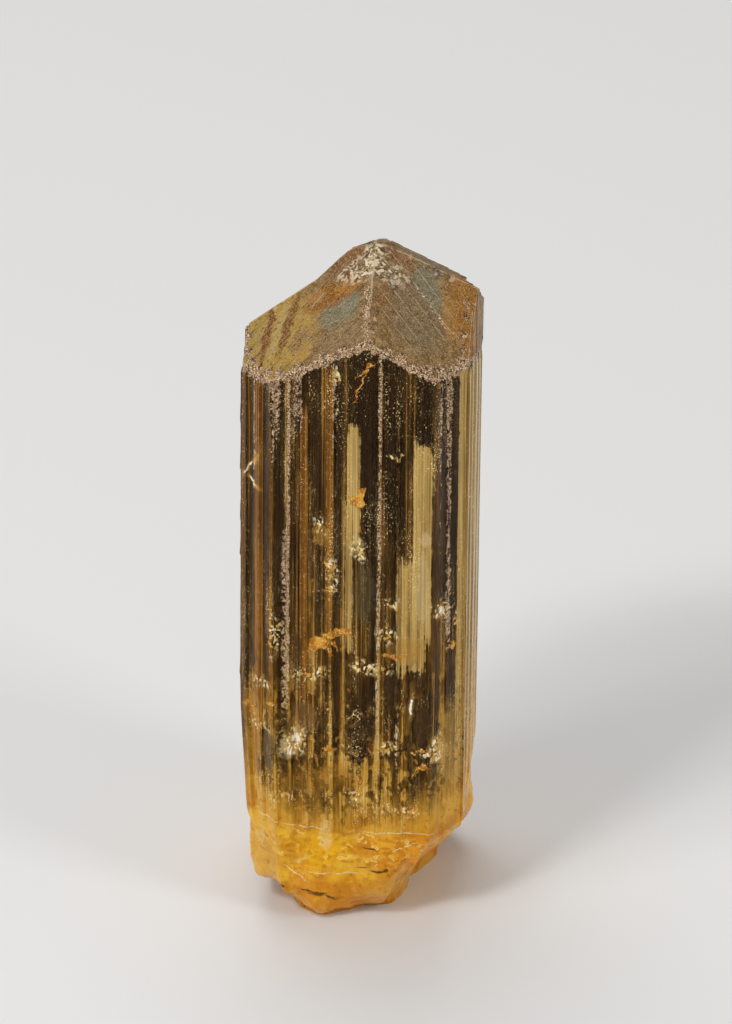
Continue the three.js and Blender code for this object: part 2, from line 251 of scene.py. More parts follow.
def stored(mesh, name):
    """The numbers that store() kept."""
    values = np.empty(len(mesh.vertices), np.float32)
    mesh.attributes[name].data.foreach_get("value", values)
    return values


rim_places = rim_line(crystal_mesh)
rim_places = rim_places[np.argsort(np.arctan2(rim_places[:, 1], rim_places[:, 0]))]
rim_tree = KDTree(len(rim_places))
for index, place in enumerate(rim_places):
    rim_tree.insert(place, index)
rim_tree.balance()


def mark_surface(mesh):
    """Stores, for each corner, how deep it lies in the rim, the pyramid and each kind of band."""
    at = places(mesh)
    to_rim = np.array([rim_tree.find(place)[2] for place in at])
    around = np.arctan2(rim_places[:, 1], rim_places[:, 0])
    rim_height = np.interp(
        np.arctan2(at[:, 1], at[:, 0]), around, rim_places[:, 2], period=2 * math.pi
    )
    worn_right = (at[:, 0] > 5.9) & (at[:, 1] > -4.7)
    worn_foot = 35.1 - 0.47 * (at[:, 1] + corner_start)
    to_worn_foot = np.abs(at[:, 2] - np.maximum(worn_foot, 31))
    to_rim = np.where(worn_right, np.maximum(to_rim, 0.4), to_rim)
    to_rim = np.where(worn_right, np.minimum(to_rim, to_worn_foot), to_rim)
    below = rim_height - at[:, 2]
    below = np.where(worn_right, np.minimum(below, worn_foot - at[:, 2]), below)
    high_up = eased(at[:, 2], 30, 32)
    on_wall = eased(outline_reach(at), half_width - 1, half_width - 0.75)
    on_pyramid = np.maximum(high_up * (1 - eased(below, -0.12, 0.12)), high_up * (1 - on_wall))
    width = np.where(on_pyramid > 0.5, 0.26, 0.34)
    store(mesh, "rim", np.clip(0.5 + (width - to_rim) / 0.8, 0, 1) * (high_up > 0))
    store(mesh, "pyramid", on_pyramid)
    for name, bands, fade in (
        ("etched", etched_bands, 8),
        ("gold", gold_bands, 8),
        ("khaki", khaki_bands, 3),
        ("dark", dark_bands, 8),
    ):
        store(mesh, name, depth_in_bands(at, bands, fade) * (1 - on_pyramid))


def refine_where(piece, chosen):
    """Cuts the faces whose corners are all chosen into four."""
    mesh = piece.data
    work_on(piece)
    bpy.ops.object.mode_set(mode="EDIT")
    bpy.ops.mesh.select_all(action="DESELECT")
    bpy.ops.object.mode_set(mode="OBJECT")
    for polygon in mesh.polygons:
        polygon.select = all(chosen[corner] for corner in polygon.vertices)
    bpy.ops.object.mode_set(mode="EDIT")
    bpy.ops.mesh.select_mode(type="FACE")
    bpy.ops.mesh.subdivide(number_cuts=1)
    bpy.ops.object.mode_set(mode="OBJECT")


def mark_creases(mesh):
    """Stores which corners lie on an edge where the surface turns outwards, as striae and ridges do."""
    normals = np.empty(3 * len(mesh.polygons))
    mesh.polygons.foreach_get("normal", normals)
    normals = normals.reshape(-1, 3)
    centres = np.empty(3 * len(mesh.polygons))
    mesh.polygons.foreach_get("center", centres)
    centres = centres.reshape(-1, 3)
    first_face = {}
    crease = np.zeros(len(mesh.vertices))
    for polygon in mesh.polygons:
        for edge in polygon.edge_keys:
            other = first_face.setdefault(edge, polygon.index)
            if other == polygon.index:
                continue
            turn = normals[other] @ normals[polygon.index]
            outwards = (centres[polygon.index] - centres[other]) @ normals[other] < 0
            if turn < 0.966 and outwards:
                crease[list(edge)] = 1
    store(mesh, "crease", crease)


mark_surface(crystal_mesh)
rough_places = (stored(crystal_mesh, "rim") > 0.1) | (stored(crystal_mesh, "etched") > 0.35)
refine_where(golden_crystal, rough_places)
mark_surface(crystal_mesh)
mark_creases(crystal_mesh)


def weigh(piece, name, weights):
    """A vertex group with one weight for each corner, by which a modifier acts."""
    group = piece.vertex_groups.new(name=name)
    for corner in np.nonzero(weights > 0.01)[0]:
        group.add([int(corner)], float(weights[corner]), "REPLACE")


def apply_modifier(piece, kind, settings):
    """Adds a modifier with its settings and applies it."""
    modifier = piece.modifiers.new(kind, kind)
    for name, value in settings.items():
        setattr(modifier, name, value)
    work_on(piece)
    bpy.ops.object.modifier_apply(modifier=modifier.name)


def press_in(piece, group, texture, grain, depth):
    """Presses a texture into the surface, with the size of its grain along each axis, in millimetres."""
    ruler = bpy.data.objects.new("grain ruler", None)
    ruler.scale = Vector(grain) * MM
    bpy.context.scene.collection.objects.link(ruler)
    bpy.context.view_layer.update()
    apply_modifier(
        piece,
        "DISPLACE",
        {
            "texture": texture,
            "texture_coords": "OBJECT",
            "texture_coords_object": ruler,
            "vertex_group": group,
            "direction": "NORMAL",
            "mid_level": 1.0,
            "strength": depth * MM,
        },
    )
    bpy.data.objects.remove(ruler)


surface = places(crystal_mesh)
height = surface[:, 2]
rim_depth = eased(stored(crystal_mesh, "rim"), 0.3, 0.7)
etch_depth = eased(stored(crystal_mesh, "etched"), 0.4, 0.6)
wall = eased(height, broken_top - 1.3, broken_top) * (1 - stored(crystal_mesh, "pyramid"))
apex_distance = np.hypot(surface[:, 0] - peak_x, surface[:, 1] + 0.6)
weigh(golden_crystal, "wall", wall * (1 - rim_depth))
weigh(golden_crystal, "sugary", np.maximum(rim_depth, etch_depth * 0.6))
weigh(golden_crystal, "crumpled point", (height > 36) * (1 - eased(apex_distance, 0.9, 2.0)))
weigh(golden_crystal, "broken", (1 - eased(height, broken_top - 1.5, broken_top + 0.5)) * (height > 0.01))

clouds = bpy.data.textures.new("clouds", "CLOUDS")
clouds.noise_scale = 1.0
clouds.noise_depth = 3
grains = bpy.data.textures.new("grains", "VORONOI")
grains.noise_scale = 1.0
apply_modifier(golden_crystal, "SMOOTH", {"vertex_group": "broken", "factor": 0.5, "iterations": 12})
press_in(golden_crystal, "wall", clouds, (0.35, 0.35, 14), 0.05)
press_in(golden_crystal, "sugary", grains, (0.2, 0.2, 0.26), 0.07)
press_in(golden_crystal, "sugary", clouds, (0.14, 0.14, 0.18), 0.06)
press_in(golden_crystal, "crumpled point", grains, (0.5, 0.5, 0.5), 0.16)
press_in(golden_crystal, "broken", clouds, (1.3, 1.3, 0.9), 0.25)
press_in(golden_crystal, "broken", grains, (0.9, 0.9, 0.6), 0.08)
work_on(golden_crystal)
bpy.ops.object.shade_smooth_by_angle(angle=math.radians(28))


class Wire:
    """An output of a shader node that can be used in sums and products."""

    def __init__(self, tree, socket):
        self.tree = tree
        self.socket = socket

    def node(self, kind, settings, sockets, output=0):
        """Adds a node, sets it up, joins its inputs and returns the wire from one of its outputs."""
        made = self.tree.nodes.new(kind)
        for name, value in settings.items():
            setattr(made, name, value)
        for key, value in sockets.items():
            if isinstance(value, Wire):
                self.tree.links.new(value.socket, made.inputs[key])
            else:
                made.inputs[key].default_value = value
        return Wire(self.tree, made.outputs[output])

    def math(self, operation, *values):
        return self.node("ShaderNodeMath", {"operation": operation}, dict(enumerate(values)))

    def __add__(self, other):
        return self.math("ADD", self, other)

    def __radd__(self, other):
        return self.math("ADD", other, self)

    def __sub__(self, other):
        return self.math("SUBTRACT", self, other)

    def __rsub__(self, other):
        return self.math("SUBTRACT", other, self)

    def __mul__(self, other):
        return self.math("MULTIPLY", self, other)

    def __rmul__(self, other):
        return self.math("MULTIPLY", other, self)

    def __or__(self, other):
        return self.math("MAXIMUM", self, other)

    def step(self, low, high):
        """0 below low and 1 above high, with a smooth step between."""
        return self.node(
            "ShaderNodeMapRange", {"interpolation_type": "SMOOTHSTEP"}, {0: self, 1: low, 2: high}
        )

    def fade(self, low, high, most=1.0):
        """The most below low and 0 above high, with a smooth step between."""
        sockets = {0: self, 1: low, 2: high, 3: most, 4: 0.0}
        return self.node("ShaderNodeMapRange", {"interpolation_type": "SMOOTHSTEP"}, sockets)

    def vector(self, operation, *values, output=0):
        sockets = dict(enumerate(values))
        return self.node("ShaderNodeVectorMath", {"operation": operation}, sockets, output)

    def cloud(self, stretch, scale, detail=3.0, roughness=0.6):
        """Cloudy noise from 0 to 1 at a vector, drawn out along the crystal by a factor."""
        place = self.vector("MULTIPLY", self, (1, 1, 1 / stretch)) if stretch != 1 else self
        sockets = {"Vector": place, "Scale": scale, "Detail": detail, "Roughness": roughness}
        return self.node("ShaderNodeTexNoise", {}, sockets)

    def cells(self, *scales):
        """A number from 0 to 1 for each many-sided cell of a pattern, scaled along each axis."""
        scaled = self.vector("MULTIPLY", self, scales)
        cell_colour = self.node("ShaderNodeTexVoronoi", {}, {"Vector": scaled, "Scale": 1.0}, 1)
        return self.node("ShaderNodeSeparateColor", {}, {0: cell_colour})

    def turned(self, view, turn):
        """A place turned about the view's line of sight, seen from above or in front."""
        if not turn:
            return self
        axis, way = {"above": ((0, 0, 1), -1), "in front": ((0, 1, 0), 1)}[view]
        sockets = {"Vector": self, "Axis": axis, "Angle": way * math.radians(turn)}
        return self.node("ShaderNodeVectorRotate", {"rotation_type": "AXIS_ANGLE"}, sockets)

    def away(self, view, middle, half_size, turn):
        """How far a turned place is from the middle of an oval, squared: 1 at the oval's edge."""
        angle = math.radians(turn)
        across = middle[0] * math.cos(angle) + middle[1] * math.sin(angle)
        up = middle[1] * math.cos(angle) - middle[0] * math.sin(angle)
        size = [1 / half for half in half_size]
        shift = [-across / half_size[0], -up / half_size[1]]
        unseen_axis = {"above": 2, "in front": 1}[view]
        size.insert(unseen_axis, 0)
        shift.insert(unseen_axis, 0)
        inside = self.vector("MULTIPLY_ADD", self, size, shift)
        return self.vector("DOT_PRODUCT", inside, inside, output=1)

    def spot(self, view, middle, half_size, turn, low, high):
        """1 inside an oval and 0 outside, fading between two distances squared."""
        return self.turned(view, turn).away(view, middle, half_size, turn).fade(low, high)

    def nearest(self, marks):
        """How far a place is from the nearest oval of a list on the front, 1 at its edge."""
        shortest = None
        frames = {}
        for middle, half_size, turn in marks:
            frames[turn] = frames.get(turn) or self.turned("in front", turn)
            away = frames[turn].away("in front", middle, half_size, turn)
            shortest = away if shortest is None else shortest.math("MINIMUM", shortest, away)
        return shortest.math("SQRT", shortest)

    def patches(self, view, listed, low, high, ragged=None):
        """The share and the colour of each patch of a list, each with a fading or a ragged edge."""
        frames = {}
        for middle, half_size, turn, strength, hue in listed:
            frames[turn] = frames.get(turn) or self.turned(view, turn)
            away = frames[turn].away(view, middle, half_size, turn)
            yield (away + ragged if ragged else away).fade(low, high, strength), hue


def colour(red, green, blue):
    """A colour as a screen shows it, from 0 to 255, in the renderer's terms."""
    screen = (red, green, blue)
    light = (((c / 255 + 0.055) / 1.055) ** 2.4 if c > 10 else c / 3295 for c in screen)
    return (*light, 1)


def mixed(share, first, second):
    """Goes from the first colour to the second with the share, which is a wire."""
    sockets = {0: share, 6: first, 7: second}
    return share.node("ShaderNodeMix", {"data_type": "RGBA", "clamp_factor": True}, sockets, 2)


# Colours that show through the frosted pyramid: the middle of each patch in plan, half its size,
# its turn, how strong it is and its colour
pyramid_patches = [
    ((-4.6, -3.6), (2.7, 2.9), 0, 0.9, colour(168, 134, 58)),
    ((-5.5, -3.4), (0.45, 1.9), -6, 0.5, colour(144, 122, 64)),
    ((-4.9, -3.2), (0.27, 2.3), -8, 0.95, colour(112, 66, 16)),
    ((-4.25, -3.3), (0.3, 1.7), -12, 0.8, colour(170, 146, 88)),
    ((-3.72, -3.0), (0.33, 2.0), -14, 0.95, colour(114, 68, 18)),
    ((-2.75, -2.75), (0.5, 0.6), 0, 0.75, colour(168, 138, 74)),
    ((-2.95, -5.2), (0.7, 0.6), 0, 0.7, colour(168, 130, 56)),
    ((-3.05, -4.25), (0.5, 0.75), 0, 0.7, colour(126, 94, 62)),
    ((-0.95, -3.5), (1.25, 1.0), 0, 0.9, colour(114, 112, 90)),
    ((-0.5, -3.1), (0.5, 0.6), 0, 0.6, colour(124, 124, 106)),
    ((-0.7, -5.1), (1.6, 1.0), 0, 0.5, colour(130, 106, 76)),
    ((-1.4, -2.35), (1.75, 0.8), 8, 1.0, colour(134, 82, 14)),
    ((-0.6, -2.2), (0.8, 0.5), 0, 0.8, colour(158, 102, 24)),
    ((-2.3, -2.2), (0.5, 0.4), 0, 0.6, colour(160, 116, 60)),
    ((1.6, -3.2), (0.75, 0.9), 0, 0.8, colour(124, 84, 44)),
    ((3.2, -3.4), (1.7, 2.0), 20, 0.6, colour(108, 94, 72)),
    ((3.6, -1.3), (0.8, 1.5), 30, 0.85, colour(112, 110, 90)),
    ((5.75, -1.4), (1.0, 3.4), 8, 0.9, colour(144, 94, 28)),
    ((4.95, -2.6), (0.4, 1.4), 14, 0.6, colour(160, 114, 48)),
    ((1.85, -2.0), (0.35, 0.4), 0, 0.8, colour(78, 56, 46)),
    ((2.5, -1.5), (0.3, 0.6), 30, 0.7, colour(90, 56, 40)),
    ((4.1, -0.3), (0.3, 0.3), 0, 0.8, colour(76, 72, 76)),
    ((2.2, -0.4), (1.0, 0.5), 0, 0.7, colour(120, 78, 46)),
    ((-0.6, -0.5), (1.1, 1.0), 0, 0.8, colour(116, 74, 38)),
    ((-2.4, 2.6), (2.4, 1.5), 30, 0.8, colour(124, 82, 40)),
    ((3.0, 3.2), (2.0, 1.5), -30, 0.7, colour(106, 100, 80)),
    ((4.6, 1.2), (1.2, 0.8), 0, 0.8, colour(130, 92, 46)),
    ((-1.0, 5.0), (1.9, 0.9), 0, 0.7, colour(160, 128, 62)),
    ((1.2, 4.4), (0.9, 1.4), 20, 0.6, colour(130, 98, 56)),
]

# What lies in or just under the front of the wall, and the painted glints and sparkles on it: the
# place of each in plan and height, half its size across and up, and its turn
orange_flakes = [
    ((0.3, 27.1), (0.42, 0.5), 20),
    ((0.55, 27.6), (0.2, 0.42), -20),
    ((-0.7, 18.75), (0.95, 0.3), 12),
    ((-1.65, 18.1), (0.75, 0.36), 8),
    ((-2.1, 17.75), (0.35, 0.34), 0),
    ((-1.2, 17.6), (0.09, 0.42), -12),
    ((-0.85, 17.9), (0.08, 0.35), 10),
    ((-1.15, 11.4), (0.5, 0.14), -4),
    ((4.0, 10.45), (0.52, 0.22), -3),
    ((3.9, 11.6), (0.45, 0.1), -3),
    ((-1.1, 21.4), (0.45, 0.1), 4),
    ((-1.25, 23.0), (0.3, 0.28), 30),
    ((0.32, 8.7), (0.2, 0.25), 0),
    ((0.45, 9.3), (0.16, 0.2), 0),
    ((-5.6, 13.1), (0.6, 0.26), -35),
    ((0.72, 35.25), (1.0, 0.07), 46),
    ((0.42, 34.1), (1.25, 0.06), 72),
    ((2.3, 17.4), (0.7, 0.16), 4),
    ((-4.3, 14.1), (0.3, 0.14), 20),
    ((5.45, 17.9), (0.12, 0.3), 10),
    ((5.75, 16.0), (0.14, 0.3), -10),
]
wall_patches = [
    ((0.33, 24.1), (0.42, 0.75), 10, 0.6, colour(196, 176, 112)),
    ((3.92, 21.8), (0.4, 2.4), 0, 0.3, colour(230, 206, 156)),
    ((4.0, 24.8), (0.35, 0.45), 0, 0.6, colour(216, 186, 138)),
    ((-1.66, 24.9), (0.5, 0.7), 0, 0.6, colour(188, 140, 66)),
    ((0.73, 21.3), (0.7, 2.0), 0, 0.6, colour(96, 84, 54)),
    ((-4.5, 11.0), (0.42, 1.5), 0, 0.7, colour(96, 86, 64)),
    ((-2.6, 13.1), (0.8, 1.3), 0, 0.6, colour(148, 108, 60)),
    # A pale halo round the crescent glint: painted glow.
    ((-3.2, 11.6), (0.6, 1.1), -20, 0.6, colour(230, 208, 158)),
    ((0.6, 12.7), (0.8, 1.05), 0, 0.6, colour(52, 32, 10)),
    ((3.98, 13.1), (0.52, 1.3), 0, 0.85, colour(62, 38, 12)),
    ((2.15, 15.3), (0.42, 1.1), 0, 0.75, colour(56, 36, 12)),
    ((-2.95, 17.1), (0.35, 1.7), 0, 0.7, colour(62, 38, 10)),
    ((-0.9, 9.6), (1.2, 0.9), 0, 0.5, colour(200, 140, 40)),
    ((3.1, 17.9), (1.2, 0.8), 0, 0.5, colour(180, 134, 56)),
    ((-5.6, 11.5), (0.7, 3.0), 0, 0.7, colour(196, 142, 50)),
    ((5.6, 11.5), (0.8, 3.5), 0, 0.6, colour(196, 154, 74)),
    ((-2.4, 9.2), (1.6, 1.3), 0, 0.5, colour(186, 130, 40)),
]
# White glints: painted highlights, each with a painted glow.
white_glints = [
    ((-2.95, 12.0), (0.24, 0.6), 10),
    ((-3.25, 11.2), (0.12, 0.3), -14),
    ((4.85, 20.3), (0.14, 0.3), 0),
    ((4.6, 12.1), (0.13, 0.22), 0),
    ((4.8, 10.9), (0.2, 0.12), 0),
    ((2.35, 20.5), (0.16, 0.12), 20),
    ((-5.7, 28.3), (0.07, 0.8), -28),
    ((-5.5, 27.5), (0.34, 0.1), -30),
    ((3.3, 14.3), (0.09, 0.9), -6),
    ((0.3, 8.2), (0.14, 0.14), 0),
]
# Where painted sparkles are strewn.
sparkling_places = [
    ((-2.3, 16.1), (1.2, 0.5), 8),
    ((-5.0, 15.2), (0.6, 0.35), 0),
    ((-5.0, 12.4), (0.6, 0.3), 0),
    ((-3.0, 11.8), (0.8, 1.2), -15),
    ((0.3, 13.6), (0.4, 0.35), 0),
    ((2.0, 11.6), (0.7, 0.4), 20),
    ((3.9, 11.3), (0.9, 0.22), 0),
    ((4.7, 11.6), (0.4, 1.0), 0),
    ((2.0, 18.8), (0.7, 0.7), 30),
    ((4.9, 20.4), (0.5, 0.7), 0),
    ((2.3, 20.6), (0.4, 0.5), 0),
    ((0.35, 24.0), (0.5, 0.9), 10),
    ((-1.7, 25.4), (0.5, 0.7), 0),
    ((-1.0, 22.4), (0.4, 1.2), 0),
    ((5.9, 19.3), (0.35, 1.0), 0),
    ((0.1, 8.5), (0.5, 0.4), 0),
    ((-0.85, 34.8), (0.3, 0.7), 0),
    ((2.4, 29.9), (0.7, 0.14), 10),
    ((-4.2, 18.5), (0.4, 1.5), 0),
    ((1.0, 16.6), (1.4, 0.5), -8),
    ((-3.6, 8.2), (1.4, 0.5), 6),
    ((2.6, 7.6), (2.2, 0.35), 0),
]

# The front of the broken base: patches of colour, then its cracks, placed in the same way
base_patches = [
    ((1.9, 4.8), (2.5, 1.5), 0, 0.8, colour(216, 132, 12)),
    ((-1.8, 4.75), (1.35, 1.35), 0, 0.9, colour(252, 190, 20)),
    ((-0.4, 5.2), (0.8, 0.6), 0, 0.7, colour(248, 186, 34)),
    ((-4.6, 4.4), (0.95, 2.1), 0, 0.85, colour(224, 172, 74)),
    # A whitish spot on the left lump: a painted highlight.
    ((-5.0, 4.9), (0.3, 0.5), 0, 0.6, colour(236, 204, 140)),
    ((-1.35, 5.9), (0.36, 1.2), 0, 0.75, colour(252, 220, 146)),
    ((-2.6, 4.2), (0.6, 0.22), 20, 0.8, colour(255, 232, 130)),
    ((0.3, 4.4), (1.2, 0.16), -6, 0.7, colour(255, 206, 84)),
    ((4.0, 4.2), (1.1, 2.0), 0, 0.85, colour(240, 148, 20)),
    ((5.3, 7.6), (0.8, 1.4), 0, 0.8, colour(220, 166, 62)),
    ((2.6, 6.5), (1.6, 0.5), 0, 0.6, colour(230, 170, 56)),
    ((-0.6, 1.6), (3.0, 1.5), 0, 0.8, colour(222, 142, 18)),
    ((-2.6, 2.6), (0.8, 0.4), -20, 0.6, colour(238, 162, 50)),
]
pale_cracks = [
    ((-4.6, 6.62), (0.9, 0.05), -13),
    ((-2.4, 6.27), (1.5, 0.045), -7),
    ((2.6, 6.15), (2.7, 0.04), 1),
    ((-0.9, 3.35), (1.9, 0.04), -3),
    ((-3.0, 3.2), (0.9, 0.05), -35),
    ((3.0, 5.2), (0.9, 0.04), 24),
]
dark_cracks = [
    ((1.1, 5.05), (0.65, 0.06), -8),
    ((1.6, 3.58), (0.6, 0.09), -4),
    ((2.0, 3.62), (0.2, 0.14), 10),
    ((0.7, 3.72), (0.5, 0.05), 8),
    ((-1.75, 1.98), (0.55, 0.17), -6),
    ((-1.1, 1.62), (0.45, 0.09), -38),
    ((-2.35, 2.16), (0.45, 0.07), -8),
    ((-3.75, 2.1), (0.18, 0.14), 0),
]


def surface_patterns(start):
    """What the crystal's surfaces share: places in millimetres, noises, and where each surface lies."""
    at = SimpleNamespace()
    place = start.node("ShaderNodeTexCoord", {}, {}, 3)
    place = place.vector("MULTIPLY", place, (1 / MM, 1 / MM, 1 / MM))
    x, at.y, at.z = (start.node("ShaderNodeSeparateXYZ", {}, {0: place}, axis) for axis in range(3))

    at.grains = place.cloud(1, 5.5, 2)
    at.specks = place.cloud(1, 13, 1)
    at.flecks = place.cloud(1, 2.2, 3)
    at.curds = place.cloud(1, 0.55, 4)
    at.hairs = place.cloud(130, 9, 3, 0.65)
    at.threads = place.cloud(300, 19, 1)
    at.streaks = place.cloud(90, 2.4, 3)
    at.veils = place.cloud(7, 1.0, 3)
    wobble = start.node(
        "ShaderNodeTexNoise", {}, {"Vector": place, "Scale": 1.5, "Detail": 2.0, "Roughness": 0.65}, 1
    )
    at.crooked = place.vector("MULTIPLY_ADD", wobble, (0.9, 0.9, 0.9), place)
    at.crooked = place.vector("ADD", at.crooked, (-0.45, -0.45, -0.45))
    at.jagged = place.vector("MULTIPLY_ADD", wobble, (0.3, 0.3, 0.3), place)
    at.jagged = place.vector("ADD", at.jagged, (-0.15, -0.15, -0.15))

    def painted(name):
        return start.node("ShaderNodeAttribute", {"attribute_name": name}, {}, 2)

    fine, coarse, broad, hairy = at.grains - 0.5, at.flecks - 0.5, at.veils - 0.5, at.hairs - 0.5
    at.rim = (painted("rim") + fine * 0.6 + coarse * 0.5).step(0.44, 0.56)
    at.pyramid = painted("pyramid").step(0.4, 0.6)
    at.etched = (painted("etched") + fine * 0.7 + coarse * 0.5 + broad * 0.5).step(0.48, 0.58)
    at.gold = (painted("gold") + hairy * 0.5).step(0.45, 0.56)
    at.khaki = (painted("khaki") + hairy * 0.6 + coarse * 0.5).step(0.44, 0.58)
    at.dark = (painted("dark") + hairy * 0.4).step(0.44, 0.56)
    at.crease = painted("crease").step(0.35, 0.8)
    at.sugary = painted("etched") | painted("rim") | painted("pyramid")
    at.lower = 1 - (at.z + broad * 14).step(7, 24)
    at.milky = 1 - (at.z - x * x * 0.06 + coarse * 2.2 + (at.streaks - 0.5) * 5).step(5.2, 8.6)
    at.front = (1 - at.y.step(-5.0, -4.4)) * (1 - at.pyramid)

    crystal_grain = (at.grains * 0.5 + at.specks * 0.5).step(0.4, 0.54)
    sugar = mixed(crystal_grain, colour(74, 52, 34), colour(170, 136, 102))
    # The white specks over the sugary grains are painted glints.
    at.sugar = mixed(at.specks.step(0.52, 0.66), sugar, colour(226, 202, 170))
    return at


def wall_streaks(at):
    """The colour of the wall and how frosted it is: streaks from dark to pale with a painted highlight on
    the palest, stained or khaki in places, sugary where it is etched, and further down golden and broken
    up by cracks and chips, with painted sparks and shadows on splinters, painted glints, fine pale lines
    of painted reflection and painted highlights along creases."""
    pieces = at.crooked.cells(0.8, 0.8, 0.34)
    chips = at.crooked.cells(2.1, 2.1, 1.0)
    tone = at.streaks * 0.62 + at.hairs * 0.38 + (at.veils - 0.5) * 0.3 - at.dark * 0.12 + at.khaki * 0.06
    tone = tone + (pieces - 0.5) * (at.lower * 0.14 + 0.03)
    tone = tone + (chips - 0.5) * at.lower * 0.13 + at.lower * 0.03 - 0.025
    brown = mixed(tone.step(0.44, 0.53), colour(30, 18, 4), colour(98, 66, 20))
    brown = mixed(tone.step(0.53, 0.62), brown, colour(168, 132, 68))
    golden = mixed(tone.step(0.42, 0.51), colour(58, 36, 5), colour(164, 114, 32))
    golden = mixed(tone.step(0.51, 0.59), golden, colour(216, 170, 74))
    shade = mixed(at.lower * 0.9, brown, golden)
    # The palest streaks turn into a painted highlight of near-white gold.
    shade = mixed(tone.step(0.61, 0.69), shade, colour(244, 220, 160))
    stain = mixed(tone.step(0.42, 0.58), colour(106, 64, 12), colour(158, 106, 32))
    shade = mixed(at.gold * 0.95, shade, stain)
    pale = mixed(at.hairs.step(0.34, 0.5), colour(144, 116, 64), colour(198, 170, 114))
    pale = mixed(at.hairs.step(0.54, 0.68), pale, colour(230, 206, 156))
    shade = mixed(at.khaki * (at.veils.step(0.38, 0.58) * 0.25 + 0.68), shade, pale)

    clot = at.flecks.step(0.5, 0.66) * at.lower * at.veils.step(0.42, 0.56)
    shade = mixed(clot * 0.6, shade, colour(206, 142, 34))
    # Splinters further down: the brightest carry painted sparks of light, the darkest painted shadow.
    splinters = at.crooked.cells(6.0, 6.0, 2.2)
    spark = splinters.step(0.8, 0.9) * (at.lower * 1.2 + (at.veils - 0.5) * 2).step(0.6, 1.0)
    shadow = (1 - splinters.step(0.12, 0.2)) * at.lower
    shade = mixed(shadow * 0.7, shade, colour(52, 30, 6))
    shade = mixed(spark * 0.6, shade, colour(224, 182, 92))
    # Fine pale lines along the threads: painted internal reflections.
    fine_lines = at.threads.step(0.57, 0.67) * (0.2 + at.lower * 0.2)
    shade = mixed(fine_lines, shade, colour(206, 168, 98))
    shade = mixed((1 - at.threads.step(0.3, 0.42)) * 0.6, shade, colour(30, 18, 5))
    # Glints: white specks painted into the colour.
    glint = (at.specks + (at.veils - 0.5) * 0.5 + at.etched * 0.04).step(0.66, 0.74)
    shade = mixed(glint * 0.85, shade, colour(255, 240, 200))
    # Pale lines along the outward-turning creases: painted highlights on the lath edges.
    edge_highlight = at.crease * at.flecks.step(0.42, 0.64) * (1 - at.khaki) * 0.4
    shade = mixed(edge_highlight, shade, colour(190, 152, 90))
    shade = shade.vector("MULTIPLY", shade, (1.02, 0.93, 0.66))
    golden_sugar = mixed(at.lower * (1 - at.rim) * 0.7, at.sugar, colour(206, 172, 96))
    shade = mixed(at.etched | at.rim, shade, golden_sugar)

    frosted = (tone.step(0.47, 0.56) * 0.8) | (at.threads.step(0.58, 0.68) * 0.2) | (at.lower * 0.4)
    frosted = frosted | (at.gold * 0.9) | (at.khaki * 0.9) | glint | (spark * 0.6) | at.etched | at.rim
    return shade, frosted | 0.3


def pyramid_colour(at):
    """The frosted pyramid: patches of tint with pale specks of painted highlight, the crushed point with
    painted glints and shade on its shards, painted highlights on its crests, and sugary lines along its
    edges.
    """
    face = mixed(at.flecks.step(0.35, 0.65), colour(104, 76, 42), colour(140, 110, 66))
    for patch, hue in at.crooked.patches("above", pyramid_patches, 0.3, 1.3):
        face = mixed(patch, face, hue)
    face = mixed((1 - at.grains.step(0.3, 0.47)) * 0.75, face, colour(66, 42, 20))
    # Pale specks on the grains: painted highlights.
    face = mixed(at.specks.step(0.52, 0.66) * 0.45, face, colour(206, 180, 138))
    face = mixed(at.flecks.step(0.56, 0.74) * 0.25, face, colour(176, 154, 128))

    # The crushed point: its shards are painted lit and shaded, from dark brown to white glints.
    shards = at.crooked.cells(6.0, 6.0, 6.0)
    crushed = at.crooked.spot("above", (0.7, -1.4), (2.3, 1.0), 0, 0.09, 1.2)
    crushed = crushed | at.crooked.spot("above", (0.7, -0.4), (0.7, 0.9), 0, 0.09, 1.2)
    shard_glints_and_shade = mixed(shards.step(0.15, 0.5), colour(88, 64, 42), colour(150, 130, 102))
    shard_glints_and_shade = mixed(shards.step(0.64, 0.8), shard_glints_and_shade, colour(238, 222, 190))
    face = mixed(crushed * at.pyramid * 0.75, face, shard_glints_and_shade)

    front_edge = at.crooked.spot("above", (0.6, -4.2), (2.4, 0.19), -85, 0.25, 1.2)
    strong_line = at.crooked.spot("above", (4.3, -2.55), (2.3, 0.06), -36, 0.25, 1.2)
    # Pale lines on the crests of the growth ridges and edges: painted highlights.
    face = mixed(at.crease * at.flecks.step(0.3, 0.5) * 0.6, face, colour(204, 180, 150))
    return mixed((front_edge | strong_line) * 0.9, face, at.sugar)


